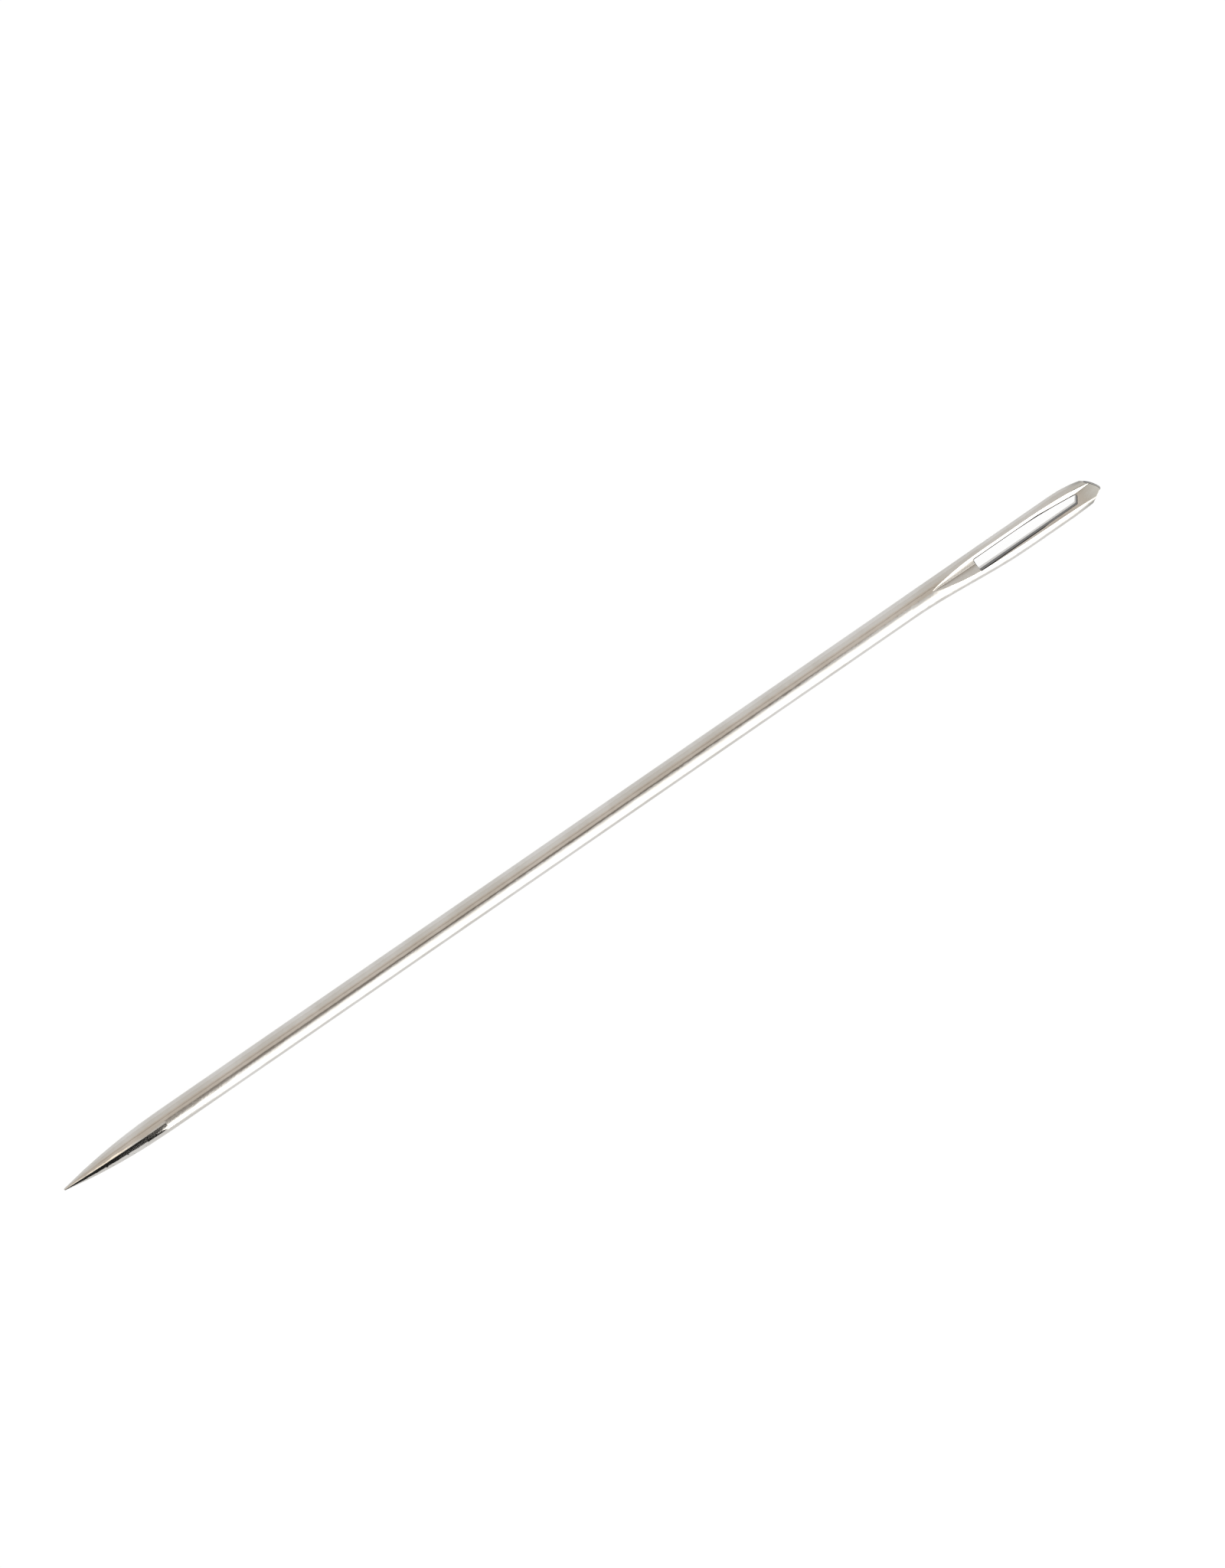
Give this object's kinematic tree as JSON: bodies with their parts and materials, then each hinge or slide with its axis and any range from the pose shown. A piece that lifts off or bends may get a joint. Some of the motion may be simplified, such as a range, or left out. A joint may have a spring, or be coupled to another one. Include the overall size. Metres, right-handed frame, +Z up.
{
  "type": "hand sewing needle",
  "caption": "Long-eyed hand sewing needle of polished plated steel, with a tapered point, a straight round shaft and a swelled, gutter-sided eye whose head is ground off at a slant.",
  "frame": {"origin": "on the table that the needle lies on, below the shaft's axis and half way between the point and the head", "axes": "+X along the shaft from the point to the eye; +Y across the eye, towards the side where the eye stands out less; +Z up from the table"},
  "size_m": [0.0612, 0.0016, 0.0012],
  "materials": {
    "plated_steel": "nickel-plated carbon steel wire, drawn, then polished along its length"
  },
  "bodies": {
    "root": {"needle": "plated_steel"}
  },
  "joints": []
}
